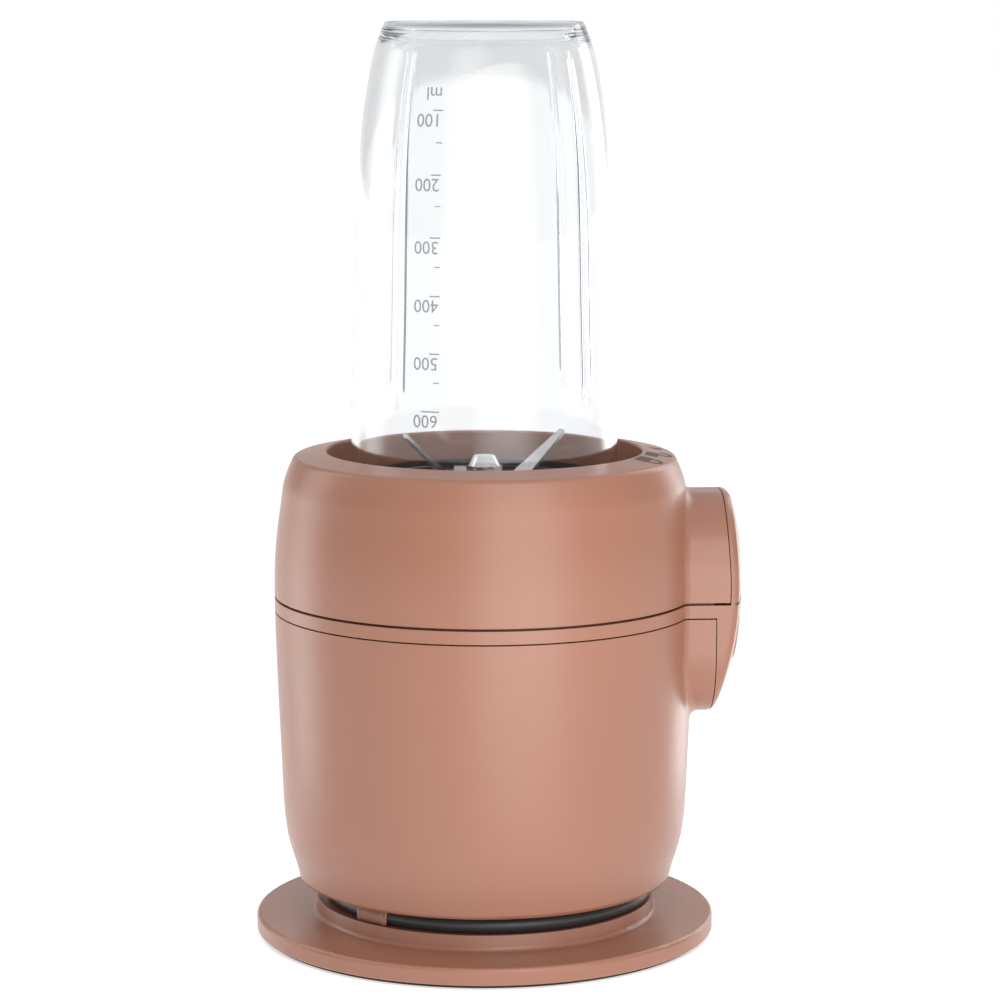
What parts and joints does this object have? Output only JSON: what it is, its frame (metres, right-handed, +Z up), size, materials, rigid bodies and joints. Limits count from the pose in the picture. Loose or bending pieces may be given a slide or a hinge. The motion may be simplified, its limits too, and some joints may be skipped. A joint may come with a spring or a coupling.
{
  "type": "personal cup blender",
  "caption": "Countertop personal blender: foot disc, barrel motor body with a side dial, twist-lock collar and an upside-down clear cup over its blades.",
  "frame": {"origin": "centre of the foot's rest face, on the axis of the body and cup", "axes": "+Z up along the cup's axis, +X from the axis towards the dial"},
  "size_m": [0.1658, 0.1982, 0.3103],
  "materials": {
    "clay_plastic": "fine matte soft-touch moulding in clay pink",
    "dark_plastic": "satin dark grey moulding",
    "black_plastic": "satin black moulding",
    "clear_plastic": "clear polished copolyester",
    "seal_silicone": "soft translucent silicone",
    "rubber_black": "matt non-slip rubber",
    "cord_black": "satin PVC",
    "pin_brass": "nickelled brass",
    "screw_steel": "zinc plated",
    "shaft_steel": "ground",
    "blade_steel": "polished stainless",
    "bracket_steel": "pressed zinc-plated sheet",
    "lamination_steel": "varnished laminations",
    "copper_wire": "enamelled copper",
    "bronze": "sintered bronze",
    "carbon": "carbon graphite",
    "board_green": "glass-fibre board",
    "print_grey": "printed dark grey"
  },
  "bodies": {
    "base": {"foot_mat": "rubber_black", "base_disc": "clay_plastic", "cord_spool": "clay_plastic", "base_screws": "screw_steel", "lower_housing": "clay_plastic", "trim_band": "clay_plastic", "upper_housing": "clay_plastic", "cup_well": "clay_plastic", "housing_screws": "screw_steel", "shaft_seal": "rubber_black", "stator_stack": "lamination_steel", "field_windings": "copper_wire", "motor_mounts": "rubber_black", "motor_screws": "screw_steel", "lower_bracket": "bracket_steel", "upper_bracket": "bracket_steel", "lower_bearing": "bronze", "upper_bearing": "bronze", "brush_plate": "board_green", "brush_holders": "bronze", "brushes": "carbon", "speed_switch": "black_plastic", "control_board": "board_green", "board_parts": "black_plastic", "interlock_bracket": "black_plastic", "interlock_switch": "black_plastic", "cord_gland": "cord_black", "cord_coil": "cord_black", "cord_tail": "cord_black", "cord_clip": "clay_plastic", "plug": "cord_black", "plug_pins": "pin_brass"},
    "dial": {"speed_dial": "clay_plastic", "dial_spindle": "black_plastic"},
    "rotor": {"motor_shaft": "shaft_steel", "armature_core": "lamination_steel", "armature_windings": "copper_wire", "commutator": "copper_wire", "cooling_fan": "black_plastic", "drive_coupling": "black_plastic"},
    "lock_ring": {"lock_ring": "dark_plastic"},
    "interlock": {"interlock_plunger": "black_plastic", "plunger_spring": "shaft_steel"},
    "blade_unit": {"blade_holder": "dark_plastic", "cup_gasket": "seal_silicone", "blade_bush": "bronze"},
    "blades": {"blade_shaft": "blade_steel", "upper_blade": "blade_steel", "lower_blade": "blade_steel", "blade_nut": "blade_steel", "driven_coupling": "black_plastic"},
    "cup": {"cup": "clear_plastic"}
  },
  "joints": [
    {"name": "dial_turn", "type": "hinge", "parent": "base", "child": "dial", "pos_m": [0.08, 0, 0.117], "axis": [1, 0, 0], "range_deg": [-45, 90]},
    {"name": "motor_spin", "type": "hinge", "parent": "base", "child": "rotor", "pos_m": [0, 0, 0.076], "axis": [0, 0, 1], "continuous": true},
    {"name": "cup_twist", "type": "hinge", "parent": "base", "child": "lock_ring", "pos_m": [0, 0, 0.126], "axis": [0, 0, -1], "range_deg": [0, 20]},
    {"name": "interlock_push", "type": "slide", "parent": "base", "child": "interlock", "axis": [0, 0, 1], "range_m": [-0.0022, 0], "deforming": ["plunger_spring"]},
    {"name": "cup_lift", "type": "slide", "parent": "lock_ring", "child": "blade_unit", "axis": [0, 0, 1], "range_m": [0, 0.06]},
    {"name": "blade_spin", "type": "hinge", "parent": "blade_unit", "child": "blades", "pos_m": [0, 0, 0.15], "axis": [0, 0, 1], "continuous": true},
    {"name": "cup_unscrew", "type": "hinge", "parent": "blade_unit", "child": "cup", "pos_m": [0, 0, 0.15], "axis": [0, 0, 1], "range_deg": [0, 90]}
  ],
  "couplings": [
    {"joint": "blade_spin", "follows": "motor_spin", "ratio": 1},
    {"joint": "interlock_push", "follows": "cup_twist", "m_per_rad": -0.0063025}
  ]
}
